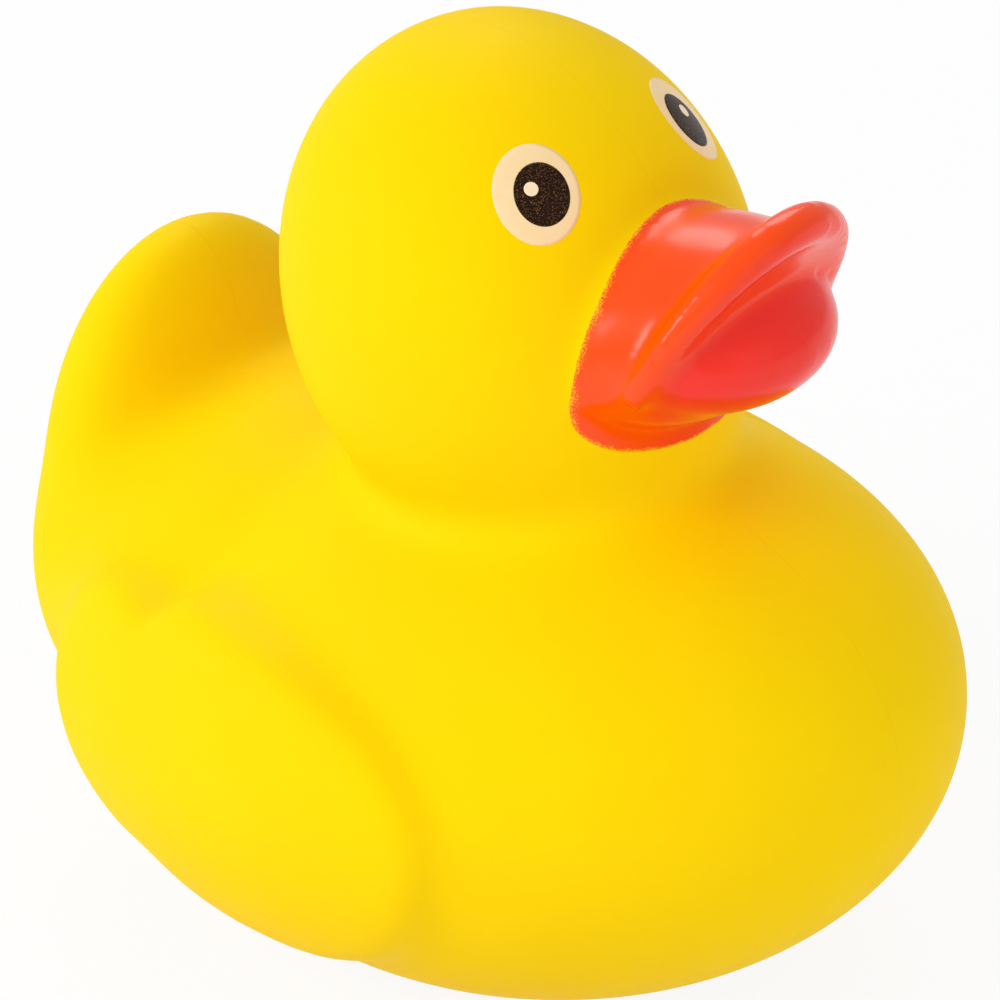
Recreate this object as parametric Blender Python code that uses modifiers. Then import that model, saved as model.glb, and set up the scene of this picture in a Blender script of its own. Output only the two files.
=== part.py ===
# A floating bath duck: a hollow soft vinyl shell with a sprayed beak and printed eyes, a squeaker pressed
# into its base, and a ballast ring that keeps it upright on water. It stands on z = 0 and faces -Y, and
# its left and right sides mirror each other about the plane x = 0.

import math

import bmesh
import bpy
from mathutils import Matrix, Vector

# Driving dimensions, in metres and degrees. Radii are half sizes along X, Y and Z before the lean,
# and a positive lean tips the top of a form towards -Y.
BODY_CENTRE = (0.0, -0.0056, 0.0217)
BODY_RADII = (0.0313, 0.0372, 0.0244)
BODY_LEAN = -9.0
RUMP_CENTRE = (0.0, 0.0185, 0.0245)
RUMP_RADII = (0.0262, 0.0215, 0.0180)
RUMP_LEAN = -10.0
ROOT_CENTRE = (0.0, 0.0310, 0.0245)
ROOT_RADII = (0.0208, 0.0112, 0.0195)
ROOT_LEAN = -10.0
HEAD_CENTRE = (0.0, -0.0027, 0.0583)
HEAD_RADII = (0.0205, 0.0183, 0.0227)
HEAD_LEAN = -26.0
NECK_CENTRE = (0.0, -0.0020, 0.0440)
NECK_RADII = (0.0120, 0.0120, 0.0060)
TAIL_CENTRE = (0.0, 0.0336, 0.0310)
TAIL_RADII = (0.0178, 0.0078, 0.0217)
TAIL_LEAN = -3.0
WALL = 0.0021

WING_CENTRE = (0.0, -0.0020, 0.0228)
WING_RADII = (0.0347, 0.0460, 0.0270)
WING_LEAN = -4.0
WING_REACH = (0.0200, 0.0400)

BILL_CORNER = (-0.0230, 0.0580)
BILL_HALF_WIDTH = 0.0112
BILL_RISE = 0.0149
BILL_LEAN = 27.0
BILL_LIP_RADIUS = 0.0015
LOWER_BILL_CENTRE = (0.0, -0.0215, 0.0603)
LOWER_BILL_RADII = (0.0110, 0.0103, 0.0064)
CHIN_CENTRE = (0.0, -0.0175, 0.0570)
CHIN_RADII = (0.0092, 0.0060, 0.0050)

PAINT = 0.0004
GAP = 0.0003
SPRAY_CENTRE = (0.0, -0.0180, 0.0593)
SPRAY_LEAN = 20.0
SPRAY_HALF_WIDTH = 0.0118
SPRAY_HALF_HEIGHT = 0.0090
SPRAY_TAPER = 0.25
SPRAY_REACH = (-0.0060, 0.0200)
SPRAY_FLARE = 1.45

EYE_CENTRE = (0.0091, -0.0117, 0.0720)
EYE_TURN = 33.5
EYE_LEAN = 41.5
WHITE_RADII = (0.0034, 0.0046)
PUPIL_RADII = (0.0022, 0.0029)
PUPIL_SHIFT = (0.00055, -0.0004)
GLINT_RADII = (0.0006, 0.0006)
GLINT_SHIFT = (-0.0007, 0.0010)
EYE_REACH = 0.0040

BASE_WALL = 0.0034
HOLE_RADIUS = 0.0055
COUNTERBORE_RADIUS = 0.0075
COUNTERBORE_DEPTH = 0.0013
SQUEAKER_WALL = 0.0010
SQUEAKER_LIP = 0.0008
SQUEAKER_TOP = 0.0130
SQUEAKER_FLOOR = 0.0020
SOUND_HOLE_RADIUS = 0.0015
REED_WIDTH = 0.0030
REED_THICKNESS = 0.0002
REED_LENGTH = 0.0066
REED_CHANNEL = (0.0018, 0.0014)
CLAMP_HEIGHT = 0.0022
CAP_THICKNESS = 0.0010
BALLAST_RADII = (0.0078, 0.0140)
BALLAST_THICKNESS = 0.0035
BALLAST_EDGE = 0.0005

SKIN_VOXEL = 0.0010
SKIN_SHARE = 0.065
CAVITY_VOXEL = 0.0034
BLEND_ROUNDS = 24
CREASE_ROUNDS = 4

YELLOW = (1.0, 0.72, 0.0, 1.0)
ORANGE = (1.0, 0.09, 0.01, 1.0)
CREAM = (1.0, 0.74, 0.45, 1.0)
BLACK = (0.01, 0.008, 0.006, 1.0)
MILKY = (0.82, 0.80, 0.74, 1.0)
STEEL = (0.42, 0.42, 0.42, 1.0)
BRASS = (0.60, 0.42, 0.16, 1.0)


def clear_scene():
    for obj in list(bpy.data.objects):
        bpy.data.objects.remove(obj)


def collection(name):
    made = bpy.data.collections.new(name)
    bpy.context.scene.collection.children.link(made)
    return made


clear_scene()
PARTS = collection("bath_duck")
CUTTERS = collection("cutters")


def add(name, bm, group=CUTTERS):
    mesh = bpy.data.meshes.new(name)
    bm.to_mesh(mesh)
    bm.free()
    return add_mesh(name, mesh, group)


def add_mesh(name, mesh, group=CUTTERS):
    obj = bpy.data.objects.new(name, mesh)
    group.objects.link(obj)
    if group is CUTTERS:
        obj.hide_render = True
        obj.display_type = "WIRE"
    return obj


def material(name, colour, roughness, metallic=0.0):
    made = bpy.data.materials.new(name)
    made.use_nodes = True
    shader = made.node_tree.nodes["Principled BSDF"]
    shader.inputs["Base Color"].default_value = colour
    shader.inputs["Roughness"].default_value = roughness
    shader.inputs["Metallic"].default_value = metallic
    return made


def finish(obj, look):
    obj.data.materials.clear()
    obj.data.materials.append(look)
    obj.data.shade_smooth()
    obj.data.set_sharp_from_angle(angle=math.radians(40))
    return obj


def evaluated_mesh(obj):
    graph = bpy.context.evaluated_depsgraph_get()
    return bpy.data.meshes.new_from_object(obj.evaluated_get(graph))


def combine(obj, operation, *others):
    for other in others:
        boolean = obj.modifiers.new(f"{operation.lower()}_{other.name}", "BOOLEAN")
        boolean.operation = operation
        boolean.solver = "EXACT"
        boolean.object = other
    return obj


def place(centre, lean=0.0, turn=0.0):
    spin = Matrix.Rotation(math.radians(turn), 4, "Z") @ Matrix.Rotation(math.radians(lean), 4, "X")
    return Matrix.Translation(Vector(centre)) @ spin


def ball(bm, centre, radii, lean=0.0):
    matrix = place(centre, lean) @ Matrix.Diagonal((*radii, 1.0))
    bmesh.ops.create_uvsphere(bm, u_segments=48, v_segments=32, radius=1.0, matrix=matrix)


def box(name, low, high):
    bm = bmesh.new()
    size = Vector(high) - Vector(low)
    middle = (Vector(high) + Vector(low)) / 2
    bmesh.ops.create_cube(bm, size=1.0, matrix=Matrix.Translation(middle) @ Matrix.Diagonal((*size, 1.0)))
    return add(name, bm)


def loft(bm, rings):
    """Joins closed rings of equally many points, and fills the first and the last."""
    rows = [[bm.verts.new(point) for point in ring] for ring in rings]
    for row, after in zip(rows, rows[1:]):
        for i in range(len(row)):
            j = (i + 1) % len(row)
            bm.faces.new((row[i], row[j], after[j], after[i]))
    bm.faces.new(reversed(rows[0]))
    bm.faces.new(rows[-1])
    bmesh.ops.recalc_face_normals(bm, faces=bm.faces)


def melt(name, fill, voxel, rounds):
    """Fuses overlapping closed shapes into one skin, and softens the creases between them."""
    bm = bmesh.new()
    fill(bm)
    obj = add(name, bm)
    remesh = obj.modifiers.new("melt", "REMESH")
    remesh.mode = "VOXEL"
    remesh.voxel_size = voxel
    soften = obj.modifiers.new("soften", "SMOOTH")
    soften.factor = 0.5
    soften.iterations = rounds
    return obj


# Outer form


def core_shapes(bm, inset=0.0):
    shapes = (
        (BODY_CENTRE, BODY_RADII, BODY_LEAN),
        (RUMP_CENTRE, RUMP_RADII, RUMP_LEAN),
        (ROOT_CENTRE, ROOT_RADII, ROOT_LEAN),
        (HEAD_CENTRE, HEAD_RADII, HEAD_LEAN),
        (NECK_CENTRE, NECK_RADII, 0.0),
        (TAIL_CENTRE, TAIL_RADII, TAIL_LEAN),
    )
    for centre, radii, lean in shapes:
        ball(bm, centre, [radius - inset for radius in radii], lean)


def outline_prism(name, points, low, high, resolution=6):
    """A smooth closed outline in the YZ plane, standing along X from low to high."""
    curve = bpy.data.curves.new(name, "CURVE")
    curve.dimensions = "2D"
    curve.fill_mode = "BOTH"
    curve.extrude = (high - low) / 2
    curve.resolution_u = resolution
    spline = curve.splines.new("BEZIER")
    spline.use_cyclic_u = True
    spline.bezier_points.add(len(points) - 1)
    for bezier, (y, z) in zip(spline.bezier_points, points):
        bezier.co = (y, z, 0.0)
        bezier.handle_left_type = "AUTO"
        bezier.handle_right_type = "AUTO"
    obj = add_mesh(name, curve)
    obj.matrix_world = Matrix(
        ((0.0, 0.0, 1.0, (low + high) / 2), (1.0, 0.0, 0.0, 0.0), (0.0, 1.0, 0.0, 0.0), (0.0, 0.0, 0.0, 1.0))
    )
    bpy.context.view_layer.update()
    mesh = evaluated_mesh(obj)
    mesh.transform(obj.matrix_world)
    bm = bmesh.new()
    bm.from_mesh(mesh)
    bmesh.ops.remove_doubles(bm, verts=bm.verts, dist=1e-6)
    bmesh.ops.recalc_face_normals(bm, faces=bm.faces)
    bpy.data.objects.remove(obj)
    return bm


WING_FRONT = (
    (0.0116, 0.0349),
    (0.0038, 0.0356),
    (-0.0066, 0.0340),
    (-0.0145, 0.0305),
    (-0.0181, 0.0240),
    (-0.0160, 0.0155),
    (-0.0095, 0.0095),
    (0.0018, 0.0064),
    (0.0118, 0.0082),
    (0.0160, 0.0182),
    (0.0141, 0.0298),
)
WING_REAR = (
    (0.0118, 0.0182),
    (0.0126, 0.0297),
    (0.0143, 0.0327),
    (0.0188, 0.0337),
    (0.0238, 0.0317),
    (0.0263, 0.0257),
    (0.0253, 0.0182),
    (0.0208, 0.0122),
    (0.0148, 0.0107),
)


def wing(bm, side):
    """Two feather lobes that stand proud of the body, cut from a larger ellipsoid by their outlines."""
    low, high = sorted((side * WING_REACH[0], side * WING_REACH[1]))
    for number, outline in enumerate((WING_FRONT, WING_REAR)):
        swollen = bmesh.new()
        ball(swollen, WING_CENTRE, WING_RADII, WING_LEAN)
        lobe = add(f"wing_lobe_{number}_{side}", swollen)
        prism = add(f"wing_outline_{number}_{side}", outline_prism("wing_curve", outline, low, high))
        combine(lobe, "INTERSECT", prism)
        bm.from_mesh(evaluated_mesh(lobe))
        bpy.data.objects.remove(lobe)
        bpy.data.objects.remove(prism)


def arch(corner, half_width, rise, lean, steps=24):
    """A half round arch over a flat foot: corner is the (y, z) of its foot on the mirror plane."""
    top = math.radians(lean)
    ring = []
    for step in range(steps + 1):
        angle = math.pi * step / steps
        height = rise * math.sin(angle)
        ring.append((half_width * math.cos(angle), corner[0] - height * math.sin(top), corner[1] + height * math.cos(top)))
    return ring


def bill_arch(back, drop, width, rise, lean):
    """An arch behind the rim of the upper bill: back and drop place its foot, width and rise scale it."""
    foot = (BILL_CORNER[0] + back, BILL_CORNER[1] - drop)
    return arch(foot, BILL_HALF_WIDTH * width, BILL_RISE * rise, BILL_LEAN * lean)


def upper_bill(bm):
    rings = (
        bill_arch(0.0095, 0.0020, 1.06, 0.85, 0.3),
        bill_arch(0.0050, 0.0015, 1.10, 0.92, 0.6),
        bill_arch(0.0024, 0.0008, 1.03, 0.96, 0.9),
        bill_arch(0.0006, 0.0000, 1.00, 1.00, 1.0),
    )
    loft(bm, rings)


def bill_rim(bm):
    """A round bead along the rim of the upper bill, swept across the arch and thinner towards its feet."""
    path = [Vector(point) for point in bill_arch(0.0, 0.0, 1.0, 1.0, 1.0)]
    rings = []
    for i, point in enumerate(path):
        along = path[min(i + 1, len(path) - 1)] - path[max(i - 1, 0)]
        radius = BILL_LIP_RADIUS * (0.5 + 0.5 * math.sin(math.pi * i / (len(path) - 1)))
        frame = along.to_track_quat("Z", "X").to_matrix() * radius
        angles = [math.tau * k / 12 for k in range(12)]
        rings.append([point + frame @ Vector((math.cos(a), math.sin(a), 0.0)) for a in angles])
    loft(bm, rings)


def duck_shapes(bm):
    core = melt("core", core_shapes, SKIN_VOXEL, BLEND_ROUNDS)
    bm.from_mesh(evaluated_mesh(core))
    bpy.data.objects.remove(core)
    for side in (-1, 1):
        wing(bm, side)
    upper_bill(bm)
    bill_rim(bm)
    ball(bm, LOWER_BILL_CENTRE, LOWER_BILL_RADII)
    ball(bm, CHIN_CENTRE, CHIN_RADII)


def outer_form():
    """The whole outer skin as one mesh, before the base is cut flat."""
    form = melt("form", duck_shapes, SKIN_VOXEL, CREASE_ROUNDS)
    thin = form.modifiers.new("thin", "DECIMATE")
    thin.ratio = SKIN_SHARE
    mesh = evaluated_mesh(form)
    bpy.data.objects.remove(form)
    return mesh


FORM = outer_form()


def form_copy(name, depth=0.0, group=CUTTERS):
    """A copy of the outer skin, drawn inwards by depth."""
    obj = add_mesh(name, FORM.copy(), group)
    if depth:
        sink = obj.modifiers.new("sink", "DISPLACE")
        sink.mid_level = 0.0
        sink.strength = -depth
    return obj


PAINT_BED = form_copy("paint_bed", PAINT)
PAINT_POCKET = form_copy("paint_pocket", PAINT + GAP)


# Colour fields: outlines that stand on the skin, each cut to a film and to a pocket that holds it


def spray_ring(reach, scale, grow):
    """The edge of the sprayed beak, narrower at the top, at a distance along the spray axis."""
    frame = place(SPRAY_CENTRE, -SPRAY_LEAN)
    ring = []
    for step in range(32):
        angle = math.tau * step / 32
        across = SPRAY_HALF_WIDTH * math.cos(angle) * (1.0 - SPRAY_TAPER * math.sin(angle))
        up = SPRAY_HALF_HEIGHT * math.sin(angle)
        edge = Vector((across, 0.0, up)) * scale
        edge += edge.normalized() * grow
        ring.append(frame @ Vector((edge.x, -reach, edge.z)))
    return ring


def spray_field(name, grow=0.0):
    bm = bmesh.new()
    back, front = SPRAY_REACH
    loft(bm, [spray_ring(back, 1.0, grow), spray_ring(0.0, 1.0, grow), spray_ring(front, SPRAY_FLARE, grow)])
    return add(name, bm)


def eye_frame(side):
    """The eye's own axes on the head: X away from the mirror plane, Y up the face, Z out of the skin."""
    x, y, z = EYE_CENTRE
    frame = Matrix.Translation((x, y, z))
    frame @= Matrix.Rotation(math.radians(EYE_TURN), 4, "Z")
    frame @= Matrix.Rotation(math.radians(90.0 - EYE_LEAN), 4, "X")
    return Matrix.Scale(-1.0, 4, (1.0, 0.0, 0.0)) @ frame if side < 0 else frame


def eye_field(name, side, radii, shift=(0.0, 0.0), grow=0.0):
    matrix = eye_frame(side) @ Matrix.Translation((-shift[0], shift[1], 0.0))
    matrix = matrix @ Matrix.Diagonal((radii[0] + grow, radii[1] + grow, EYE_REACH, 1.0))
    bm = bmesh.new()
    bmesh.ops.create_cone(bm, cap_ends=True, segments=24, radius1=1.0, radius2=1.0, depth=2.0, matrix=matrix)
    bmesh.ops.recalc_face_normals(bm, faces=bm.faces)
    return add(name, bm)


def film(name, look, field, *holes):
    """The outermost layer of the skin inside a field, PAINT thick."""
    made = form_copy(name, 0.0, PARTS)
    combine(made, "INTERSECT", field)
    combine(made, "DIFFERENCE", PAINT_BED, *holes)
    return finish(made, look)


def pocket(name, field):
    """What the skin gives up for the films inside a field: their thickness and a gap beneath them."""
    return combine(add_mesh(name, field.data.copy()), "DIFFERENCE", PAINT_POCKET)


def shift_of_glint():
    return (PUPIL_SHIFT[0] + GLINT_SHIFT[0], PUPIL_SHIFT[1] + GLINT_SHIFT[1])


def make_eye(side, label, looks):
    white, pupil, glint = looks
    glint_shift = shift_of_glint()
    film(
        f"eye_white_{label}", white, eye_field(f"white_field_{label}", side, WHITE_RADII),
        eye_field(f"white_hole_{label}", side, PUPIL_RADII, PUPIL_SHIFT, GAP),
    )
    film(
        f"eye_pupil_{label}", pupil, eye_field(f"pupil_field_{label}", side, PUPIL_RADII, PUPIL_SHIFT),
        eye_field(f"pupil_hole_{label}", side, GLINT_RADII, glint_shift, GAP),
    )
    film(f"eye_glint_{label}", glint, eye_field(f"glint_field_{label}", side, GLINT_RADII, glint_shift))
    return pocket(f"eye_pocket_{label}", eye_field(f"eye_edge_{label}", side, WHITE_RADII, grow=GAP))


# Body shell


def cavity_shapes(bm):
    core_shapes(bm, WALL)


def make_cavity():
    """The inside of the shell, cut flat over the base."""
    cavity = melt("cavity", cavity_shapes, CAVITY_VOXEL, CREASE_ROUNDS)
    floor = box("cavity_floor", (-0.1, -0.1, -0.1), (0.1, 0.1, BASE_WALL))
    return combine(cavity, "DIFFERENCE", floor)


def cylinder(name, radius, low, high, segments=32):
    bm = bmesh.new()
    matrix = Matrix.Translation((0.0, 0.0, (low + high) / 2))
    bmesh.ops.create_cone(
        bm, cap_ends=True, segments=segments, radius1=radius, radius2=radius, depth=high - low, matrix=matrix
    )
    return add(name, bm)


def make_body(pockets):
    shell = form_copy("body_shell", 0.0, PARTS)
    combine(shell, "DIFFERENCE", box("ground_cut", (-0.1, -0.1, -0.1), (0.1, 0.1, 0.0)))
    combine(shell, "DIFFERENCE", *pockets)
    combine(shell, "DIFFERENCE", make_cavity())
    combine(shell, "DIFFERENCE", cylinder("hole", HOLE_RADIUS, -GAP, BASE_WALL + GAP))
    combine(shell, "DIFFERENCE", cylinder("counterbore", COUNTERBORE_RADIUS, -GAP, COUNTERBORE_DEPTH))
    return finish(shell, material("yellow_vinyl", YELLOW, 0.5))


# Squeaker and ballast, both turned about the Z axis or standing on it


def turned(name, profile, look, segments=32):
    """A closed profile of (radius, height) corners, turned about Z. Its outer side runs downwards."""
    bm = bmesh.new()
    corners = [bm.verts.new((radius, 0.0, height)) for radius, height in profile]
    for start, end in zip(corners, corners[1:] + corners[:1]):
        bm.edges.new((start, end))
    obj = add(name, bm, PARTS)
    screw = obj.modifiers.new("turn", "SCREW")
    screw.steps = segments
    screw.render_steps = segments
    screw.use_merge_vertices = True
    screw.merge_threshold = 0.00001
    return finish(obj, look)


def make_squeaker(plastic, metal):
    neck = HOLE_RADIUS - GAP
    bore = neck - SQUEAKER_WALL
    flange = COUNTERBORE_RADIUS - GAP
    shoulder = BASE_WALL + GAP
    seat = SQUEAKER_FLOOR + GAP
    core = bore - GAP
    clamp_top = SQUEAKER_TOP - CAP_THICKNESS - GAP
    clamp_low = clamp_top - CLAMP_HEIGHT

    turned(
        "squeaker_body",
        (
            (neck, SQUEAKER_TOP),
            (neck, shoulder + SQUEAKER_LIP + SQUEAKER_WALL),
            (neck + SQUEAKER_LIP, shoulder + SQUEAKER_LIP),
            (neck + SQUEAKER_LIP, shoulder),
            (neck, shoulder),
            (neck, COUNTERBORE_DEPTH - GAP),
            (flange, COUNTERBORE_DEPTH - GAP),
            (flange, GAP),
            (SOUND_HOLE_RADIUS, GAP),
            (SOUND_HOLE_RADIUS, SQUEAKER_FLOOR),
            (bore, SQUEAKER_FLOOR),
            (bore, SQUEAKER_TOP),
        ),
        plastic,
    )
    turned(
        "squeaker_cap",
        (
            (neck, SQUEAKER_TOP + GAP + CAP_THICKNESS),
            (neck, SQUEAKER_TOP + GAP),
            (core, SQUEAKER_TOP + GAP),
            (core, clamp_top + GAP),
            (SOUND_HOLE_RADIUS, clamp_top + GAP),
            (SOUND_HOLE_RADIUS, SQUEAKER_TOP + GAP + CAP_THICKNESS),
        ),
        plastic,
    )

    reed_face = -GAP - REED_THICKNESS / 2
    block = half_core("reed_block", core, seat, clamp_top, -core, reed_face, plastic)
    width, depth = REED_CHANNEL
    channel = box(
        "reed_channel", (-width / 2, reed_face - depth, seat - GAP), (width / 2, reed_face + GAP, clamp_low)
    )
    combine(block, "DIFFERENCE", channel)
    half_core("reed_clamp", core, clamp_low, clamp_top, -reed_face, core, plastic)
    make_reed(clamp_low, clamp_top, metal)


def half_core(name, radius, low, high, near, far, look):
    """The slice of a round core between two planes across Y."""
    bm = bmesh.new()
    matrix = Matrix.Translation((0.0, 0.0, (low + high) / 2))
    bmesh.ops.create_cone(
        bm, cap_ends=True, segments=32, radius1=radius, radius2=radius, depth=high - low, matrix=matrix
    )
    obj = add(name, bm, PARTS)
    slice_box = box(f"{name}_slice", (-0.02, near, -0.02), (0.02, far, 0.04))
    combine(obj, "INTERSECT", slice_box)
    return finish(obj, look)


def make_reed(clamp_low, clamp_top, metal):
    """A flat tongue held at its top, with its origin on the line where the clamp lets go of it."""
    hinge = bpy.data.objects.new("reed_hinge", None)
    PARTS.objects.link(hinge)
    hinge.location = (0.0, 0.0, clamp_low)
    top = clamp_top - GAP - clamp_low
    size = (REED_WIDTH, REED_THICKNESS, REED_LENGTH)
    matrix = Matrix.Translation((0.0, 0.0, top - REED_LENGTH / 2)) @ Matrix.Diagonal((*size, 1.0))
    bm = bmesh.new()
    bmesh.ops.create_cube(bm, size=1.0, matrix=matrix)
    reed = add("squeaker_reed", bm, PARTS)
    reed.parent = hinge
    return finish(reed, metal)


def make_ballast(look):
    inner, outer = BALLAST_RADII
    low = BASE_WALL + GAP
    high = low + BALLAST_THICKNESS
    turned(
        "ballast_ring",
        (
            (outer - BALLAST_EDGE, high),
            (outer, high - BALLAST_EDGE),
            (outer, low + BALLAST_EDGE),
            (outer - BALLAST_EDGE, low),
            (inner, low),
            (inner, high),
        ),
        look,
    )


def build():
    ink = (
        material("cream_ink", CREAM, 0.45),
        material("black_ink", BLACK, 0.4),
        material("cream_dot_ink", CREAM, 0.45),
    )
    pockets = [make_eye(side, label, ink) for side, label in ((-1, "right"), (1, "left"))]
    film("beak_paint", material("orange_paint", ORANGE, 0.2), spray_field("spray"))
    pockets.append(pocket("beak_pocket", spray_field("spray_edge", GAP)))
    make_body(pockets)
    make_squeaker(material("milky_plastic", MILKY, 0.4), material("brass_strip", BRASS, 0.3, 1.0))
    make_ballast(material("steel", STEEL, 0.4, 1.0))


build()
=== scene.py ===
# %% [markdown]
# # A floating bath duck
# The duck is a hollow toy of soft vinyl with a sprayed beak and printed eyes. A squeaker is pressed into
# its base, and a heavy ring inside keeps it upright on water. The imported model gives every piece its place.
# Here the outer pieces are made again with a finer skin, and every piece gets its finish.

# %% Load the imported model
import math

import bmesh
import bpy
from mathutils import Matrix, Vector
from mathutils.bvhtree import BVHTree


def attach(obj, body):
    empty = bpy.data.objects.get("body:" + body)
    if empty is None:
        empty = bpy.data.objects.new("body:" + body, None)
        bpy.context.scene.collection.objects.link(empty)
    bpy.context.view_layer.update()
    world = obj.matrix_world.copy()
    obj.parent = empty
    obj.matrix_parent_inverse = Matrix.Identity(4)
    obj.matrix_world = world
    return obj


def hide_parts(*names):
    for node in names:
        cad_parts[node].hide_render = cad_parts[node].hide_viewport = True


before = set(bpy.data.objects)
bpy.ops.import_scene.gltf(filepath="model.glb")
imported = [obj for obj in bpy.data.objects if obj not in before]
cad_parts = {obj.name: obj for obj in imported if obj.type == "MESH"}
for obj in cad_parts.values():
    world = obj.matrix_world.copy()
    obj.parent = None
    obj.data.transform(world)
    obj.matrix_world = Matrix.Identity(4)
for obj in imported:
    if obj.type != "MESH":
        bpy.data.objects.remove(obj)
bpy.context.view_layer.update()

# %% [markdown]
# ## Small helpers
# Hex colours are written the way a screen shows them, and Cycles works with linear light, so one function
# turns the first into the second. Another adds a shader node with its settings and its links. Every size is
# in metres, so MM keeps the small ones readable.

# %% Colours, nodes and objects
MM = 0.001


def linear(hex_colour):
    """The linear colour of an sRGB hex value such as #FFDD00."""
    shares = [int(hex_colour[i : i + 2], 16) / 255 for i in (1, 3, 5)]
    return (*[s / 12.92 if s <= 0.04045 else ((s + 0.055) / 1.055) ** 2.4 for s in shares], 1.0)


def add_node(tree, kind, inputs=None, **settings):
    """Adds a node. An input that is a socket becomes a link, and anything else becomes its value."""
    made = tree.nodes.new(kind)
    for setting, value in settings.items():
        setattr(made, setting, value)
    for socket, value in (inputs or {}).items():
        if isinstance(value, bpy.types.NodeSocket):
            tree.links.new(value, made.inputs[socket])
        else:
            made.inputs[socket].default_value = value
    return made


def new_material(name):
    """An empty material, and its node tree."""
    made = bpy.data.materials.new(name)
    made.use_nodes = True
    made.node_tree.nodes.clear()
    return made, made.node_tree


def finish_material(made, shader):
    add_node(made.node_tree, "ShaderNodeOutputMaterial", {"Surface": shader.outputs[0]})
    made.diffuse_color = shader.inputs[0].default_value
    print("material", made.name)
    return made


def add_object(name, bm):
    """A mesh object at the origin from a bmesh, which is then freed."""
    mesh = bpy.data.meshes.new(name)
    bm.to_mesh(mesh)
    bm.free()
    made = bpy.data.objects.new(name, mesh)
    bpy.context.scene.collection.objects.link(made)
    return made


def baked_mesh(obj):
    """The mesh of an object with its modifiers applied."""
    graph = bpy.context.evaluated_depsgraph_get()
    return bpy.data.meshes.new_from_object(obj.evaluated_get(graph))


def use_up(obj):
    """Takes a helper object's finished mesh and removes the object."""
    mesh = baked_mesh(obj)
    bpy.data.objects.remove(obj)
    return mesh


def placing(centre, lean=0.0):
    """A matrix that leans a shape about X by a number of degrees and then moves it to its centre."""
    return Matrix.Translation(centre) @ Matrix.Rotation(math.radians(lean), 4, "X")


# %% [markdown]
# ## The camera
# The camera looks at the duck from its right front and from above, far enough away that the near side
# hardly grows. A long lens from that distance keeps the head and the tail in their true proportion.

# %% Camera
CAMERA_TURN = math.radians(49.9)
CAMERA_RISE = math.radians(28.5)
CAMERA_DISTANCE = 0.491
CAMERA_AIM = Vector((0.0, -0.0004, 0.0373))
TO_CAMERA = Vector((-math.sin(CAMERA_TURN), -math.cos(CAMERA_TURN), 0.0))
CAMERA_RIGHT = Vector((math.cos(CAMERA_TURN), -math.sin(CAMERA_TURN), 0.0))
UP = Vector((0.0, 0.0, 1.0))

camera_lens = bpy.data.cameras.new("studio_camera")
camera_lens.sensor_width = 36.0
camera_lens.lens = 213.8
camera_lens.clip_start = 0.01
camera = bpy.data.objects.new("studio_camera", camera_lens)
bpy.context.scene.collection.objects.link(camera)
camera_offset = TO_CAMERA * math.cos(CAMERA_RISE) + UP * math.sin(CAMERA_RISE)
camera.location = CAMERA_AIM + camera_offset * CAMERA_DISTANCE
camera.rotation_euler = (-camera_offset).to_track_quat("-Z", "Y").to_euler()
bpy.context.scene.camera = camera
print("camera at", [round(value, 3) for value in camera.location])

# %% [markdown]
# ## Melting simple forms into one skin
# A rotationally moulded duck has no sharp inner corners: the sculptor's forms run into each other. The same
# look comes from overlapping closed balls that a voxel Remesh fuses into one skin, after which Smooth rounds
# the creases. A finer voxel needs more rounds of smoothing for a crease of the same width, so the rounds
# are worked out from the width.

# %% The melt
SKIN_GRAIN = 0.53 * MM


def ball(bm, centre, radii, lean=0.0):
    matrix = placing(centre, lean) @ Matrix.Diagonal((*radii, 1.0))
    bmesh.ops.create_uvsphere(bm, u_segments=72, v_segments=48, radius=1.0, matrix=matrix)


def melt(name, bm, grain, crease):
    """Fuses the closed shapes in a bmesh into one skin, and rounds its creases to about the crease width."""
    obj = add_object(name, bm)
    fuse = obj.modifiers.new("fuse", "REMESH")
    fuse.mode = "VOXEL"
    fuse.voxel_size = grain
    soften = obj.modifiers.new("soften", "SMOOTH")
    soften.factor = 0.5
    soften.iterations = round((crease / grain) ** 2)
    mesh = use_up(obj)
    print(name, len(mesh.polygons), "faces")
    return mesh


# %% [markdown]
# ## Body, head and tail
# Six leaning ellipsoids give the trunk, the rump, the root of the tail, the head, the neck and the upswept
# tail. They are drawn with the wide crease that this kind of duck has under its head. Made smaller by the
# wall thickness, the same six give the hollow inside.

# %% Forms of the trunk
TRUNK_FORMS = (
    ((0.0, -0.0056, 0.0217), (0.0313, 0.0372, 0.0244), -9.0),
    ((0.0, 0.0185, 0.0245), (0.0262, 0.0215, 0.0180), -10.0),
    ((0.0, 0.0310, 0.0245), (0.0208, 0.0112, 0.0195), -10.0),
    ((0.0, -0.0027, 0.0583), (0.0205, 0.0183, 0.0227), -26.0),
    ((0.0, -0.0020, 0.0440), (0.0120, 0.0120, 0.0060), 0.0),
    ((0.0, 0.0336, 0.0310), (0.0178, 0.0078, 0.0217), -3.0),
)
TRUNK_CREASE = 5.6 * MM
WALL = 2.1 * MM


def trunk(inset=0.0):
    bm = bmesh.new()
    for centre, radii, lean in TRUNK_FORMS:
        ball(bm, centre, [radius - inset for radius in radii], lean)
    return bm


trunk_skin = melt("trunk", trunk(), SKIN_GRAIN, TRUNK_CREASE)

# %% [markdown]
# ## Wings
# Each wing is two low feather lobes that stand about a millimetre proud of the flank. A larger ellipsoid
# follows the flank at that height, and an outline cuts each lobe out of it. The outline is a smooth curve,
# because a lobe's edge has no corners. The lobes are melted into the trunk with a crease of their own, so that
# they rise out of the flank softly.

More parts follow.
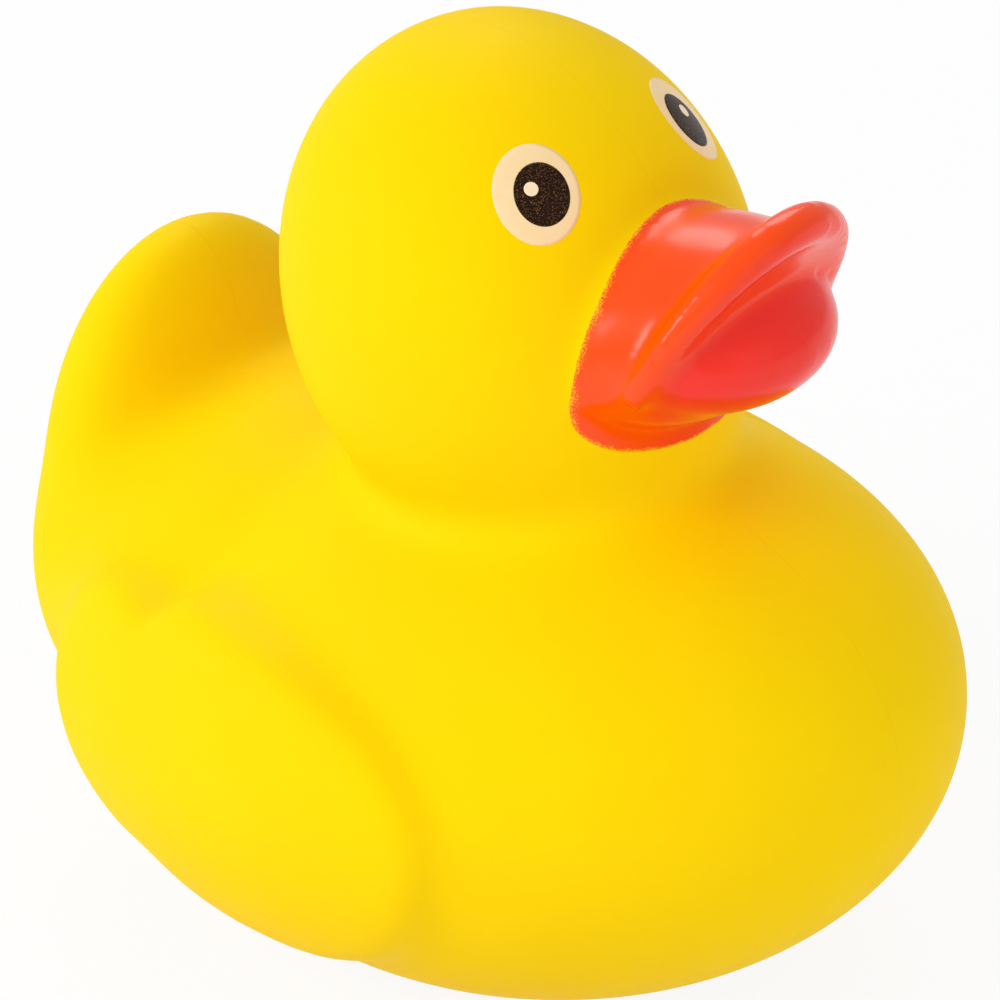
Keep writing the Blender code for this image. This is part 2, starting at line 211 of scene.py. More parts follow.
# %% Wing lobes
WING_BALL = ((0.0, -0.0020, 0.0228), (0.0341, 0.0456, 0.0267), -4.0)
WING_FROM, WING_TO = 20.0 * MM, 40.0 * MM
WING_OUTLINES = (
    (
        (0.0116, 0.0349), (0.0038, 0.0356), (-0.0066, 0.0340), (-0.0145, 0.0305), (-0.0181, 0.0240),
        (-0.0160, 0.0155), (-0.0095, 0.0095), (0.0018, 0.0064), (0.0118, 0.0082), (0.0160, 0.0182),
        (0.0141, 0.0298),
    ),
    (
        (0.0118, 0.0182), (0.0126, 0.0297), (0.0143, 0.0327), (0.0188, 0.0337), (0.0238, 0.0317),
        (0.0263, 0.0257), (0.0253, 0.0182), (0.0208, 0.0122), (0.0148, 0.0107),
    ),
)


def outline_block(outline, low, high):
    """A smooth closed outline in the YZ plane, as a block that runs along X from low to high."""
    curve = bpy.data.curves.new("outline", "CURVE")
    curve.dimensions = "2D"
    curve.fill_mode = "BOTH"
    curve.extrude = (high - low) / 2
    curve.resolution_u = 12
    spline = curve.splines.new("BEZIER")
    spline.use_cyclic_u = True
    spline.bezier_points.add(len(outline) - 1)
    for point, (y, z) in zip(spline.bezier_points, outline):
        point.co = (y, z, 0.0)
        point.handle_left_type = "AUTO"
        point.handle_right_type = "AUTO"
    drawn = bpy.data.objects.new("outline", curve)
    bpy.context.scene.collection.objects.link(drawn)
    bm = bmesh.new()
    bm.from_mesh(use_up(drawn))
    bmesh.ops.transform(bm, matrix=Matrix(((0, 0, 1, (low + high) / 2), (1, 0, 0, 0), (0, 1, 0, 0), (0, 0, 0, 1))), verts=bm.verts)
    bmesh.ops.remove_doubles(bm, verts=bm.verts, dist=0.001 * MM)
    bmesh.ops.recalc_face_normals(bm, faces=bm.faces)
    return bm


def cut(obj, operation, *tools):
    """Applies Booleans one after another, and removes the tools."""
    for tool in tools:
        step = obj.modifiers.new(tool.name, "BOOLEAN")
        step.operation = operation
        step.solver = "EXACT"
        step.object = tool
    mesh = use_up(obj)
    for tool in tools:
        bpy.data.objects.remove(tool)
    return mesh


def wing_lobe(outline, side):
    low, high = sorted((side * WING_FROM, side * WING_TO))
    bm = bmesh.new()
    ball(bm, *WING_BALL)
    lobe = add_object("lobe", bm)
    return cut(lobe, "INTERSECT", add_object("lobe_outline", outline_block(outline, low, high)))


WING_CREASE = 3.8 * MM
winged = bmesh.new()
winged.from_mesh(trunk_skin)
for side in (-1, 1):
    for outline in WING_OUTLINES:
        winged.from_mesh(wing_lobe(outline, side))
winged_skin = melt("winged trunk", winged, SKIN_GRAIN, WING_CREASE)

# %% [markdown]
# ## Bill
# The upper bill is a half round arch that opens forwards, with a rolled rim like the edge of a spoon. The
# lower bill is a plump cushion under it, and a small chin fills the corner to the head. Arches of vertices
# are bridged into the upper bill, and a ring of 16 points is carried along the last arch for the rim.

# %% Upper bill, rim and lower bill
BILL_CORNER = (-0.0230, 0.0580)
BILL_HALF_WIDTH = 11.2 * MM
BILL_RISE = 14.9 * MM
BILL_LEAN = 27.0
BILL_STATIONS = (
    (0.0095, 0.0020, 1.06, 0.85, 0.3),
    (0.0050, 0.0015, 1.10, 0.92, 0.6),
    (0.0024, 0.0008, 1.03, 0.96, 0.9),
    (0.0006, 0.0000, 1.00, 1.00, 1.0),
    (-0.0010, 0.0000, 0.86, 0.87, 1.0),
)
RIM_RADIUS = 1.85 * MM
LOWER_BILL = ((0.0, -0.0215, 0.0606), (0.0110, 0.0104, 0.0061))
CHIN = ((0.0, -0.0183, 0.0583), (0.0118, 0.0093, 0.0058))


def arch(back, drop, width, rise, lean, steps=48):
    """Points of an arch behind the rim: back and drop place its foot, and the rest scale it."""
    top = math.radians(BILL_LEAN * lean)
    points = []
    for step in range(steps + 1):
        angle = math.pi * step / steps
        height = BILL_RISE * rise * math.sin(angle)
        across = BILL_HALF_WIDTH * width * math.cos(angle)
        y = BILL_CORNER[0] + back - height * math.sin(top)
        z = BILL_CORNER[1] - drop + height * math.cos(top)
        points.append(Vector((across, y, z)))
    return points


def bridge_rings(rings):
    """A closed shape through closed rings of equally many points."""
    bm = bmesh.new()
    loops = []
    for ring in rings:
        corners = [bm.verts.new(point) for point in ring]
        loops.append([bm.edges.new(pair) for pair in zip(corners, corners[1:] + corners[:1])])
    for loop, after in zip(loops, loops[1:]):
        bmesh.ops.bridge_loops(bm, edges=loop + after)
    bmesh.ops.holes_fill(bm, edges=bm.edges, sides=0)
    bmesh.ops.recalc_face_normals(bm, faces=bm.faces)
    return bm


def rim_rings():
    path = arch(0.0, 0.0, 1.0, 1.0, 1.0)
    rings = []
    for i, point in enumerate(path):
        along = path[min(i + 1, len(path) - 1)] - path[max(i - 1, 0)]
        radius = RIM_RADIUS * (0.5 + 0.5 * math.sin(math.pi * i / (len(path) - 1)))
        turn = along.to_track_quat("Z", "X").to_matrix() * radius
        angles = [math.tau * k / 16 for k in range(16)]
        rings.append([point + turn @ Vector((math.cos(a), math.sin(a), 0.0)) for a in angles])
    return rings


BILL_CREASE = 2.8 * MM
duck = bmesh.new()
duck.from_mesh(winged_skin)
for rings in ([arch(*station) for station in BILL_STATIONS], rim_rings()):
    shape = bridge_rings(rings)
    duck.from_mesh(use_up(add_object("bill", shape)))
ball(duck, *LOWER_BILL)
ball(duck, *CHIN)
duck_skin_mesh = melt("duck", duck, SKIN_GRAIN, BILL_CREASE)

# %% [markdown]
# ## The hollow shell
# The skin becomes a shell: the base is cut flat so that the duck stands, the hollow is taken out, and a
# stepped hole in the base takes the squeaker. The base is thicker than the wall, because the squeaker needs
# something to grip.

# %% Shell
BASE_WALL = 3.4 * MM
HOLE_RADIUS = 5.5 * MM
STEP_RADIUS = 7.5 * MM
STEP_DEPTH = 1.3 * MM
HOLLOW_GRAIN = 2.0 * MM
HOLLOW_CREASE = 6.8 * MM
REACH = 0.1


def block(name, low, high):
    bm = bmesh.new()
    size, middle = Vector(high) - Vector(low), (Vector(high) + Vector(low)) / 2
    bmesh.ops.create_cube(bm, size=1.0, matrix=Matrix.Translation(middle) @ Matrix.Diagonal((*size, 1.0)))
    return add_object(name, bm)


def round_tool(name, radius, low, high):
    bm = bmesh.new()
    matrix = Matrix.Translation((0.0, 0.0, (low + high) / 2))
    bmesh.ops.create_cone(
        bm, cap_ends=True, segments=96, radius1=radius, radius2=radius, depth=high - low, matrix=matrix
    )
    return add_object(name, bm)


def hollow():
    inside = bpy.data.objects.new("hollow", melt("hollow", trunk(WALL), HOLLOW_GRAIN, HOLLOW_CREASE))
    bpy.context.scene.collection.objects.link(inside)
    mesh = cut(inside, "DIFFERENCE", block("hollow_floor", (-REACH, -REACH, -REACH), (REACH, REACH, BASE_WALL)))
    cleared = bpy.data.objects.new("hollow", mesh)
    bpy.context.scene.collection.objects.link(cleared)
    return cleared


duck_skin = bpy.data.objects.new("duck_skin", duck_skin_mesh.copy())
bpy.context.scene.collection.objects.link(duck_skin)
shell_mesh = cut(
    duck_skin,
    "DIFFERENCE",
    block("ground", (-REACH, -REACH, -REACH), (REACH, REACH, 0.0)),
    hollow(),
    round_tool("squeaker_hole", HOLE_RADIUS, -MM, BASE_WALL + MM),
    round_tool("squeaker_step", STEP_RADIUS, -MM, STEP_DEPTH),
)
shell_mesh.polygons.foreach_set("use_smooth", [True] * len(shell_mesh.polygons))
shell_mesh.set_sharp_from_angle(angle=math.radians(40.0))
duck_skin = bpy.data.objects.new("duck_skin", shell_mesh)
bpy.context.scene.collection.objects.link(duck_skin)
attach(duck_skin, "duck")
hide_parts("body_shell")
print("shell", len(shell_mesh.polygons), "faces")

# %% [markdown]
# ## Sprayed beak
# The beak is painted through a mask, so the colour ends in a soft, speckled edge. The paint is a thin film
# on the skin, with an outline that is narrower at the top. The film here is a copy of the skin round the
# bill. It stands a few hundredths of a millimetre proud, and past the edge of the paint it sinks just under
# the skin, so its border does not show. Each vertex keeps two distances for the finish: how far it is inside
# the edge of the spray, and how far it is in front of the plane of the rim.

# %% Spray outline
SPRAY_CENTRE = (0.0, -0.0180, 0.0593)
SPRAY_LEAN = 20.0
SPRAY_HALF_WIDTH = 11.8 * MM
SPRAY_HALF_HEIGHT = 9.0 * MM
SPRAY_TAPER = 0.25
SPRAY_BACK, SPRAY_FRONT, SPRAY_FLARE = -7.0 * MM, 20.0 * MM, 0.45
TO_SPRAY = placing(SPRAY_CENTRE, -SPRAY_LEAN).inverted()


def spray_depth(point):
    """How far a point lies inside the spray's outline, in metres, and less than zero outside it."""
    x, y, z = TO_SPRAY @ point
    if -y < SPRAY_BACK:
        return -SPRAY_HALF_WIDTH
    grow = 1.0 + SPRAY_FLARE * max(-y, 0.0) / SPRAY_FRONT
    across, up = x / (SPRAY_HALF_WIDTH * grow), z / (SPRAY_HALF_HEIGHT * grow)
    share = max(math.hypot(across, up), 0.01)
    for _ in range(6):
        narrow = 1.0 - SPRAY_TAPER * max(-1.0, min(1.0, up / share))
        share = max(math.hypot(across / narrow, up), 0.01)
    return math.hypot(x, z) * (1.0 / share - 1.0)


def rim_reach(point):
    """How far a point lies in front of the plane of the bill's rim, in metres."""
    lean = math.radians(BILL_LEAN)
    return -(point.y - BILL_CORNER[0]) * math.cos(lean) - (point.z - BILL_CORNER[1]) * math.sin(lean)


# %% Paint film
FILM_LIFT = 0.04 * MM
FILM_SINK = 0.03 * MM
FILM_MARGIN = 0.6 * MM
FILM_THICKNESS = 0.20 * MM


def smooth_step(value, low, high):
    share = max(0.0, min(1.0, (value - low) / (high - low)))
    return share * share * (3.0 - 2.0 * share)


film = bmesh.new()
film.from_mesh(duck_skin_mesh)
film.faces.ensure_lookup_table()
for margin, cuts in ((2 * FILM_MARGIN, 1), (FILM_MARGIN, 0)):
    outside = [face for face in film.faces if spray_depth(face.calc_center_median()) < -margin]
    bmesh.ops.delete(film, geom=outside, context="FACES")
    if cuts:
        bmesh.ops.subdivide_edges(film, edges=film.edges, cuts=cuts, use_grid_fill=True)
film.normal_update()
lifts = []
for vert in film.verts:
    depth = spray_depth(vert.co)
    risen = smooth_step(depth, -FILM_MARGIN + 0.1 * MM, 0.0)
    lifts.append(vert.normal * (risen * (FILM_LIFT + FILM_SINK) - FILM_SINK))
for vert, lift in zip(film.verts, lifts):
    vert.co += lift
beak_spray = add_object("beak_spray", film)
beak_mesh = beak_spray.data
depths = beak_mesh.attributes.new("spray_depth_mm", "FLOAT", "POINT")
depths.data.foreach_set("value", [spray_depth(vert.co) / MM for vert in beak_mesh.vertices])
reaches = beak_mesh.attributes.new("rim_reach_mm", "FLOAT", "POINT")
reaches.data.foreach_set("value", [rim_reach(vert.co) / MM for vert in beak_mesh.vertices])
beak_mesh.polygons.foreach_set("use_smooth", [True] * len(beak_mesh.polygons))
film_body = beak_spray.modifiers.new("film", "SOLIDIFY")
film_body.thickness = FILM_THICKNESS
film_body.offset = -1.0
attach(beak_spray, "duck")
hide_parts("beak_paint")
print("beak film", len(beak_mesh.polygons), "faces")

# %% [markdown]
# ## Printed eyes
# The eyes are pad printed in three inks: a cream oval, a dark pupil that sits a little towards the beak, and
# a small cream glint. Each is a disc, spun from a line, laid in the eye's own plane and then dropped onto the
# skin. Each ink lies two hundredths of a millimetre over the one under it.

# %% Eye discs
EYE_CENTRE = (0.0091, -0.0117, 0.0720)
EYE_TURN = 33.5
EYE_LEAN = 41.5
EYE_WHITE = (3.5 * MM, 4.15 * MM)
PUPIL = (2.25 * MM, 2.62 * MM)
PUPIL_SHIFT = (0.38 * MM, -0.10 * MM)
GLINT = (0.58 * MM, 0.58 * MM)
GLINT_SHIFT = (PUPIL_SHIFT[0] - 0.8 * MM, PUPIL_SHIFT[1] + 0.5 * MM)
INK_STEP = 0.02 * MM
INK_THICKNESS = 0.03 * MM
skin_surface = BVHTree.FromPolygons(
    [vert.co.copy() for vert in duck_skin_mesh.vertices], [list(face.vertices) for face in duck_skin_mesh.polygons]
)


def eye_plane(side):
    """The eye's own axes: X away from the middle of the face, Y up the face and Z out of the skin."""
    plane = Matrix.Translation(EYE_CENTRE)
    plane @= Matrix.Rotation(math.radians(EYE_TURN), 4, "Z")
    plane @= Matrix.Rotation(math.radians(90.0 - EYE_LEAN), 4, "X")
    return Matrix.Scale(-1.0, 4, (1.0, 0.0, 0.0)) @ plane if side < 0 else plane


def print_ink(name, node, side, radii, shift, layer):
    """One ink of the eye print, on the skin."""
    bm = bmesh.new()
    spokes = 14
    line = [bm.verts.new((i / spokes, 0.0, 0.0)) for i in range(spokes + 1)]
    edges = [bm.edges.new(pair) for pair in zip(line, line[1:])]
    bmesh.ops.spin(bm, geom=line + edges, axis=(0, 0, 1), cent=(0, 0, 0), angle=math.tau, steps=96, use_merge=True)
    bmesh.ops.remove_doubles(bm, verts=bm.verts, dist=0.001)
    plane = eye_plane(side)
    matrix = plane @ Matrix.Translation((-shift[0], shift[1], 0.0)) @ Matrix.Diagonal((*radii, 1.0, 1.0))
    bmesh.ops.transform(bm, matrix=matrix, verts=bm.verts)
    outwards = (plane.to_3x3() @ Vector((0.0, 0.0, 1.0))).normalized()
    for vert in bm.verts:
        hit, normal, _, _ = skin_surface.ray_cast(vert.co + outwards * 4.0 * MM, -outwards, 12.0 * MM)
        vert.co = hit
    inner = [vert for vert in bm.verts if not vert.is_boundary]
    for _ in range(4):
        bmesh.ops.smooth_vert(bm, verts=inner, factor=0.5, use_axis_x=True, use_axis_y=True, use_axis_z=True)
    bm.normal_update()
    if sum(face.normal.dot(outwards) for face in bm.faces) < 0:
        bmesh.ops.reverse_faces(bm, faces=bm.faces)
        bm.normal_update()
    for vert in bm.verts:
        vert.co += outwards * INK_STEP * layer
    disc = add_object(name, bm)
    disc.data.polygons.foreach_set("use_smooth", [True] * len(disc.data.polygons))
    thick = disc.modifiers.new("ink", "SOLIDIFY")
    thick.thickness = INK_THICKNESS
    thick.offset = -1.0
    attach(disc, "duck")
    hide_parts(node)
    return disc


eye_prints = {"white": [], "pupil": [], "glint": []}
for side, label in ((-1, "right"), (1, "left")):
    eye_prints["white"].append(
        print_ink(f"eye_cream_{label}", f"eye_white_{label}", side, EYE_WHITE, (0.0, 0.0), 1)
    )
    eye_prints["pupil"].append(
        print_ink(f"eye_dark_{label}", f"eye_pupil_{label}", side, PUPIL, PUPIL_SHIFT, 2)
    )
    eye_prints["glint"].append(
        print_ink(f"eye_dot_{label}", f"eye_glint_{label}", side, GLINT, GLINT_SHIFT, 3)
    )
print("eye prints", [disc.name for discs in eye_prints.values() for disc in discs])

# %% [markdown]
# ## Soft vinyl
# The body is plasticised PVC, rotationally moulded and coloured through. It comes out of the mould almost
# matt, with a very fine grain, slow changes of tone where the wall is thicker, and a faint line along the
# middle where the two halves of the mould met. The colour is a strong warm yellow. The grain is 0.35 mm
# across, and the line stands 0.02 mm proud and is 0.3 mm wide.

# %% Vinyl nodes
VINYL_LIGHT, VINYL_DEEP, VINYL_SEAM = linear("#FFD900"), linear("#FFD300"), linear("#FCCD00")
VINYL_ROUGHNESS = 0.58
TONE_SIZE, GRAIN_SIZE, MARK_SIZE = 14.0 * MM, 0.35 * MM, 2.6 * MM
SEAM_HALF_WIDTH = 0.15 * MM


def vinyl_nodes(tree):
    """(colour, roughness, normal) sockets of the moulded yellow vinyl."""
    place = add_node(tree, "ShaderNodeTexCoord").outputs["Object"]
    tone = add_node(tree, "ShaderNodeTexNoise", {"Vector": place, "Scale": 1 / TONE_SIZE, "Detail": 2.0})
    across = add_node(tree, "ShaderNodeSeparateXYZ", {0: place}).outputs["X"]
    middle = add_node(tree, "ShaderNodeMath", {0: across}, operation="ABSOLUTE").outputs[0]
    seam = add_node(
        tree,
        "ShaderNodeMapRange",
        {"Value": middle, "From Min": SEAM_HALF_WIDTH, "From Max": 0.0, "To Min": 0.0, "To Max": 1.0},
        interpolation_type="SMOOTHSTEP",
    ).outputs[0]
    broken = add_node(tree, "ShaderNodeTexNoise", {"Vector": place, "Scale": 1 / (9 * MM), "Detail": 1.0})
    faint = add_node(tree, "ShaderNodeMath", {0: seam, 1: broken.outputs["Fac"]}, operation="MULTIPLY").outputs[0]
    body = add_node(
        tree, "ShaderNodeMix", {0: tone.outputs["Fac"], 6: VINYL_LIGHT, 7: VINYL_DEEP}, data_type="RGBA"
    ).outputs[2]
    colour = add_node(tree, "ShaderNodeMix", {0: faint, 6: body, 7: VINYL_SEAM}, data_type="RGBA").outputs[2]
    grain = add_node(tree, "ShaderNodeTexNoise", {"Vector": place, "Scale": 1 / GRAIN_SIZE, "Detail": 3.0})
    marks = add_node(tree, "ShaderNodeTexNoise", {"Vector": place, "Scale": 1 / MARK_SIZE, "Detail": 4.0})
    rough = add_node(
        tree,
        "ShaderNodeMapRange",
        {
            "Value": marks.outputs["Fac"], "From Min": 0.3, "From Max": 0.7,
            "To Min": VINYL_ROUGHNESS - 0.04, "To Max": VINYL_ROUGHNESS + 0.04,
        },
    ).outputs[0]
    raised = add_node(
        tree, "ShaderNodeBump", {"Strength": 0.12, "Distance": 0.02 * MM, "Height": seam}
    ).outputs[0]
    normal = add_node(
        tree,
        "ShaderNodeBump",
        {"Strength": 0.25, "Distance": 0.012 * MM, "Height": grain.outputs["Fac"], "Normal": raised},
    ).outputs[0]
    return colour, rough, normal


def moulded_vinyl():
    made, tree = new_material("rotationally_moulded_vinyl_yellow")
    colour, rough, normal = vinyl_nodes(tree)
    shader = add_node(
        tree,
        "ShaderNodeBsdfPrincipled",
        {"Base Color": colour, "Roughness": rough, "Normal": normal, "IOR": 1.5, "Specular IOR Level": 0.06},
    )
    return finish_material(made, shader)


duck_skin.data.materials.clear()
duck_skin.data.materials.append(moulded_vinyl())

# %% [markdown]
# ## Sprayed vinyl paint
# The beak paint is a solvent paint for vinyl, sprayed wet, so it dries glossy. It is orange over the top,
# and turns redder in front of the plane of the rim, in the mouth. At its edge the spray thins out into dots about a
# seventh of a millimetre across, with the bare matt vinyl between them.

# %% Beak paint
PAINT_ORANGE, PAINT_RED = linear("#FF4A00"), linear("#F62D1E")
PAINT_ROUGHNESS = 0.23
DROP_SIZE, RIPPLE_SIZE = 0.14 * MM, 3.2 * MM


def sprayed_paint():
    made, tree = new_material("sprayed_vinyl_paint_orange")
    vinyl, vinyl_rough, vinyl_normal = vinyl_nodes(tree)
    place = add_node(tree, "ShaderNodeTexCoord").outputs["Object"]
    depth = add_node(tree, "ShaderNodeAttribute", attribute_name="spray_depth_mm").outputs["Fac"]
    reach = add_node(tree, "ShaderNodeAttribute", attribute_name="rim_reach_mm").outputs["Fac"]
    drops = add_node(tree, "ShaderNodeTexNoise", {"Vector": place, "Scale": 1 / DROP_SIZE, "Detail": 1.0})
    drift = add_node(tree, "ShaderNodeTexNoise", {"Vector": place, "Scale": 1 / (2 * MM), "Detail": 2.0})
    ragged = add_node(
        tree, "ShaderNodeMath", {0: drops.outputs["Fac"], 1: 0.9, 2: depth}, operation="MULTIPLY_ADD"
    ).outputs[0]
    wavy = add_node(
        tree, "ShaderNodeMath", {0: drift.outputs["Fac"], 1: 0.5, 2: ragged}, operation="MULTIPLY_ADD"
    ).outputs[0]
    cover = add_node(
        tree,
        "ShaderNodeMapRange",
        {"Value": wavy, "From Min": 0.20, "From Max": 0.66, "To Min": 0.0, "To Max": 1.0},
    ).outputs[0]
    mouth = add_node(
        tree,
        "ShaderNodeMapRange",
        {"Value": reach, "From Min": 0.2, "From Max": 2.2, "To Min": 0.0, "To Max": 1.0},
        interpolation_type="SMOOTHSTEP",
    ).outputs[0]
    paint = add_node(tree, "ShaderNodeMix", {0: mouth, 6: PAINT_ORANGE, 7: PAINT_RED}, data_type="RGBA").outputs[2]
    colour = add_node(tree, "ShaderNodeMix", {0: cover, 6: vinyl, 7: paint}, data_type="RGBA").outputs[2]
    rough = add_node(tree, "ShaderNodeMix", {0: cover, 2: vinyl_rough, 3: PAINT_ROUGHNESS}, data_type="FLOAT")
    ripple = add_node(tree, "ShaderNodeTexNoise", {"Vector": place, "Scale": 1 / RIPPLE_SIZE, "Detail": 2.0})
    wet = add_node(
        tree,
        "ShaderNodeBump",
        {"Strength": 0.2, "Distance": 0.03 * MM, "Height": ripple.outputs["Fac"], "Normal": vinyl_normal},
    ).outputs[0]
    shader = add_node(
        tree,
        "ShaderNodeBsdfPrincipled",
        {"Base Color": colour, "Roughness": rough.outputs[0], "Normal": wet, "IOR": 1.5, "Specular IOR Level": 0.36},
    )
    return finish_material(made, shader)


beak_spray.data.materials.clear()
beak_spray.data.materials.append(sprayed_paint())

# %% [markdown]
# ## Printing inks
# Pad printing ink lies flat with a slight sheen. The cream ink lets a little of the yellow through in slow
# patches. The dark ink is a brown black with fine lighter grains of about a tenth of a millimetre, where
# the pad has left pinholes.

# %% Inks
CREAM, CREAM_WARM, CREAM_DOT = linear("#FFE4B4"), linear("#FFD99A"), linear("#FFEBCB")
PUPIL_DARK, PUPIL_GRAIN = linear("#1C0C04"), linear("#8A5A2C")
GRAIN_OF_INK = 0.11 * MM


def cream_ink(name, light, warm):
    made, tree = new_material(name)
    place = add_node(tree, "ShaderNodeTexCoord").outputs["Object"]
    patches = add_node(tree, "ShaderNodeTexNoise", {"Vector": place, "Scale": 1 / (1.2 * MM), "Detail": 3.0})
    colour = add_node(
        tree, "ShaderNodeMix", {0: patches.outputs["Fac"], 6: light, 7: warm}, data_type="RGBA"
    ).outputs[2]
    normal = add_node(
        tree, "ShaderNodeBump", {"Strength": 0.2, "Distance": 0.01 * MM, "Height": patches.outputs["Fac"]}
    ).outputs[0]
    shader = add_node(
        tree, "ShaderNodeBsdfPrincipled", {"Base Color": colour, "Roughness": 0.42, "Normal": normal, "IOR": 1.5}
    )
    return finish_material(made, shader)


def dark_ink():
    made, tree = new_material("pad_printing_ink_brown_black")
    place = add_node(tree, "ShaderNodeTexCoord").outputs["Object"]
    grains = add_node(tree, "ShaderNodeTexNoise", {"Vector": place, "Scale": 1 / GRAIN_OF_INK, "Detail": 1.0})
    pinholes = add_node(
        tree,
        "ShaderNodeMapRange",
        {"Value": grains.outputs["Fac"], "From Min": 0.56, "From Max": 0.74, "To Min": 0.0, "To Max": 1.0},
    ).outputs[0]
    colour = add_node(
        tree, "ShaderNodeMix", {0: pinholes, 6: PUPIL_DARK, 7: PUPIL_GRAIN}, data_type="RGBA"
    ).outputs[2]
    normal = add_node(tree, "ShaderNodeBump", {"Strength": 0.2, "Distance": 0.01 * MM, "Height": pinholes}).outputs[0]
    shader = add_node(
        tree, "ShaderNodeBsdfPrincipled", {"Base Color": colour, "Roughness": 0.34, "Normal": normal, "IOR": 1.5, "Specular IOR Level": 0.16}
    )
    return finish_material(made, shader)


ink_of = {
    "white": cream_ink("pad_printing_ink_cream", CREAM, CREAM_WARM),
    "pupil": dark_ink(),
    "glint": cream_ink("pad_printing_ink_pale_cream", CREAM_DOT, CREAM),
}
for ink, discs in eye_prints.items():
    for disc in discs:
        disc.data.materials.clear()
        disc.data.materials.append(ink_of[ink])

# %% [markdown]
# ## Squeaker and ballast
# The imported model's own squeaker and ballast already have the right shape, so they only get a finish. The
# squeaker is injection moulded in milky polyethylene, the reed is a strip of rolled brass with fine lines
# along its length, and the ballast is a ring stamped from zinc plated steel, with a mottled grey surface.

# %% Inner finishes
MILKY, MILKY_DEEP = linear("#EDE9DC"), linear("#DDD8C8")
BRASS_LIGHT, BRASS_DEEP = linear("#D8B25C"), linear("#B78F3F")
ZINC_LIGHT, ZINC_DEEP = linear("#C9CCCF"), linear("#9FA3A8")


def mottled(name, light, deep, size, roughness, metallic=0.0, stretch=(1.0, 1.0, 1.0)):
    """A finish of two tones in patches of one size, which can be stretched into fine lines."""
    made, tree = new_material(name)
    place = add_node(tree, "ShaderNodeTexCoord").outputs["Object"]
    drawn = add_node(tree, "ShaderNodeMapping", {"Vector": place, "Scale": stretch}).outputs[0]
    patches = add_node(tree, "ShaderNodeTexNoise", {"Vector": drawn, "Scale": 1 / size, "Detail": 4.0})
    colour = add_node(
        tree, "ShaderNodeMix", {0: patches.outputs["Fac"], 6: light, 7: deep}, data_type="RGBA"
    ).outputs[2]
    rough = add_node(
        tree,
        "ShaderNodeMapRange",
        {
            "Value": patches.outputs["Fac"], "From Min": 0.3, "From Max": 0.7,
            "To Min": roughness - 0.06, "To Max": roughness + 0.06,
        },
    ).outputs[0]
    normal = add_node(
        tree, "ShaderNodeBump", {"Strength": 0.2, "Distance": 0.01 * MM, "Height": patches.outputs["Fac"]}
    ).outputs[0]
    shader = add_node(
        tree,
        "ShaderNodeBsdfPrincipled",
        {"Base Color": colour, "Roughness": rough, "Metallic": metallic, "Normal": normal},
    )
    return finish_material(made, shader)


milky_polyethylene = mottled("moulded_milky_polyethylene", MILKY, MILKY_DEEP, 4.0 * MM, 0.46)
rolled_brass = mottled("rolled_brass", BRASS_LIGHT, BRASS_DEEP, 0.4 * MM, 0.30, 1.0, (6.0, 0.5, 6.0))
zinc_plated_steel = mottled("zinc_plated_steel", ZINC_LIGHT, ZINC_DEEP, 1.5 * MM, 0.38, 1.0)
finish_of = {
    "squeaker_body": milky_polyethylene,
    "squeaker_cap": milky_polyethylene,
    "reed_block": milky_polyethylene,
    "reed_clamp": milky_polyethylene,
    "squeaker_reed": rolled_brass,
    "ballast_ring": zinc_plated_steel,
}
for node_name, finish in finish_of.items():
    for material_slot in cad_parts[node_name].material_slots:
        material_slot.material = finish
    print(node_name, finish.name)

# %% [markdown]
# ## Floor and light
# The duck stands on a plain white floor. The camera, and anything glossy, sees the floor mostly as white,
# and a share of its real shade is kept, so that the duck's shadow still grounds it. The light is a large
# soft box in front to the left and a weaker one to the right, in an even pale room. Two smaller boxes, one far
# to the left and one above and behind, draw the long highlights on the glossy beak.

# %% Floor
FLOOR_SIZE = 6.0
FLOOR_WHITE_SHARE = 0.9
floor_bm = bmesh.new()
bmesh.ops.create_grid(floor_bm, x_segments=1, y_segments=1, size=FLOOR_SIZE / 2)
floor = add_object("studio_floor", floor_bm)


def seen_directly(tree):
    """1 for a ray from the camera, a reflection or a clear body, and 0 for light that bounces."""
    path = add_node(tree, "ShaderNodeLightPath")
    shiny = add_node(
        tree, "ShaderNodeMath", {0: path.outputs["Is Camera Ray"], 1: path.outputs["Is Glossy Ray"]}, operation="MAXIMUM"
    ).outputs[0]
    return add_node(
        tree, "ShaderNodeMath", {0: shiny, 1: path.outputs["Is Transmission Ray"]}, operation="MAXIMUM"
    ).outputs[0]


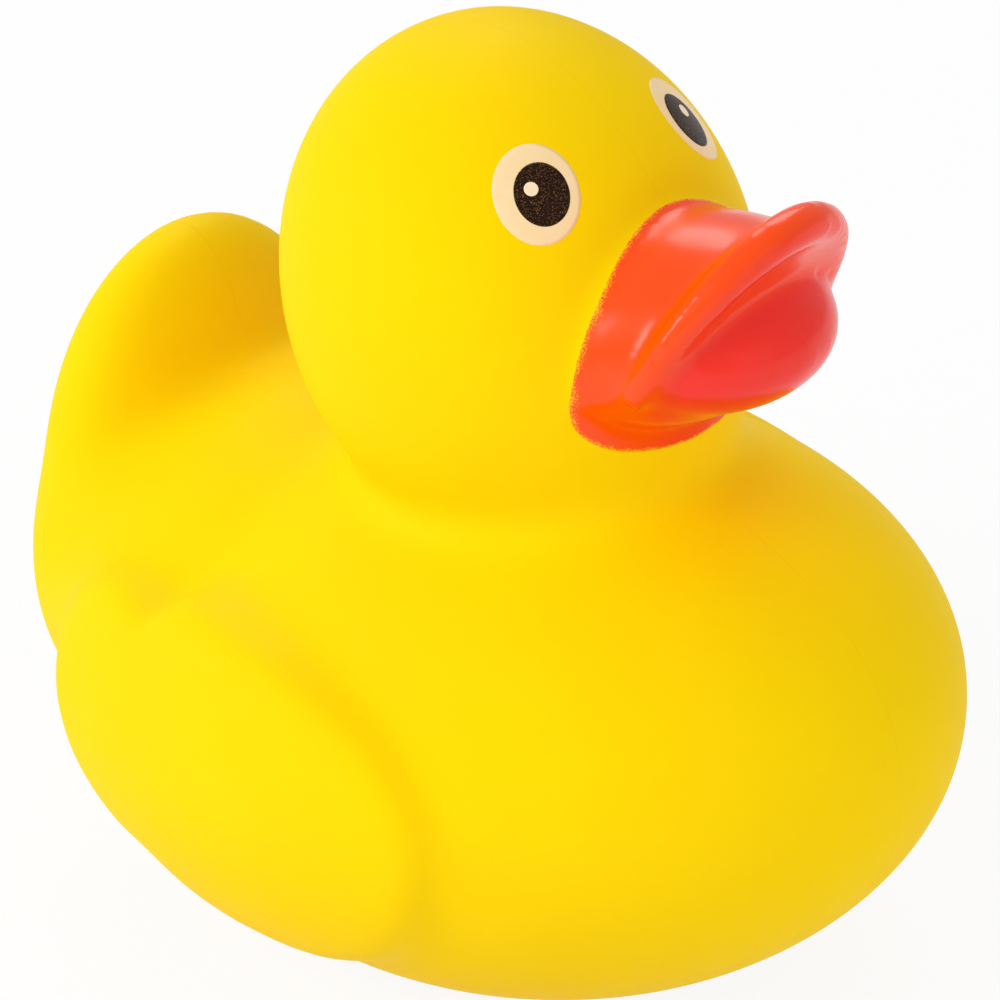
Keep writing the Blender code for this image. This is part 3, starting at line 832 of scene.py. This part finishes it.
floor_material, floor_tree = new_material("matt_white_studio_paper")
paper = add_node(floor_tree, "ShaderNodeBsdfDiffuse", {"Color": linear("#F4F4F4")})
glow = add_node(floor_tree, "ShaderNodeEmission", {"Color": (1.0, 1.0, 1.0, 1.0), "Strength": 1.0})
share = add_node(
    floor_tree, "ShaderNodeMath", {0: seen_directly(floor_tree), 1: FLOOR_WHITE_SHARE}, operation="MULTIPLY"
).outputs[0]
floor_mix = add_node(floor_tree, "ShaderNodeMixShader", {0: share, 1: paper.outputs[0], 2: glow.outputs[0]})
add_node(floor_tree, "ShaderNodeOutputMaterial", {"Surface": floor_mix.outputs[0]})
floor.data.materials.append(floor_material)

# %% Room and lamps
ROOM_LIGHT = 0.52
room = bpy.data.worlds.new("studio_room")
room.use_nodes = True
room.node_tree.nodes.clear()
dim = add_node(room.node_tree, "ShaderNodeBackground", {"Color": (1.0, 1.0, 1.0, 1.0), "Strength": ROOM_LIGHT})
white = add_node(room.node_tree, "ShaderNodeBackground", {"Color": (1.0, 1.0, 1.0, 1.0), "Strength": 1.0})
direct = add_node(room.node_tree, "ShaderNodeLightPath").outputs["Is Camera Ray"]
room_mix = add_node(room.node_tree, "ShaderNodeMixShader", {0: direct, 1: dim.outputs[0], 2: white.outputs[0]})
add_node(room.node_tree, "ShaderNodeOutputWorld", {"Surface": room_mix.outputs[0]})
bpy.context.scene.world = room


def soft_box(name, right, forward, rise, distance, size, power, mirrored=True):
    """A square lamp that faces the duck. Its direction is given as the camera sees it, and mirrored says whether
    glossy paint reflects it."""
    direction = (CAMERA_RIGHT * right + TO_CAMERA * forward + UP * rise).normalized()
    lamp = bpy.data.lights.new(name, "AREA")
    lamp.size = size
    lamp.energy = power
    obj = bpy.data.objects.new(name, lamp)
    bpy.context.scene.collection.objects.link(obj)
    obj.visible_glossy = mirrored
    obj.location = CAMERA_AIM + direction * distance
    obj.rotation_euler = (-direction).to_track_quat("-Z", "Y").to_euler()
    print(name, "at", [round(value, 2) for value in obj.location])


soft_box("key_soft_box", -0.72, 0.48, 0.58, 0.75, 0.40, 2.4, mirrored=False)
soft_box("fill_soft_box", 0.75, 0.70, 0.35, 0.80, 0.45, 1.4, mirrored=False)
soft_box("edge_soft_box", -0.97, 0.02, 0.34, 0.70, 0.20, 0.8)
soft_box("top_soft_box", -0.05, -0.80, 0.70, 0.80, 0.40, 1.5)
bpy.context.scene.view_settings.view_transform = "Standard"
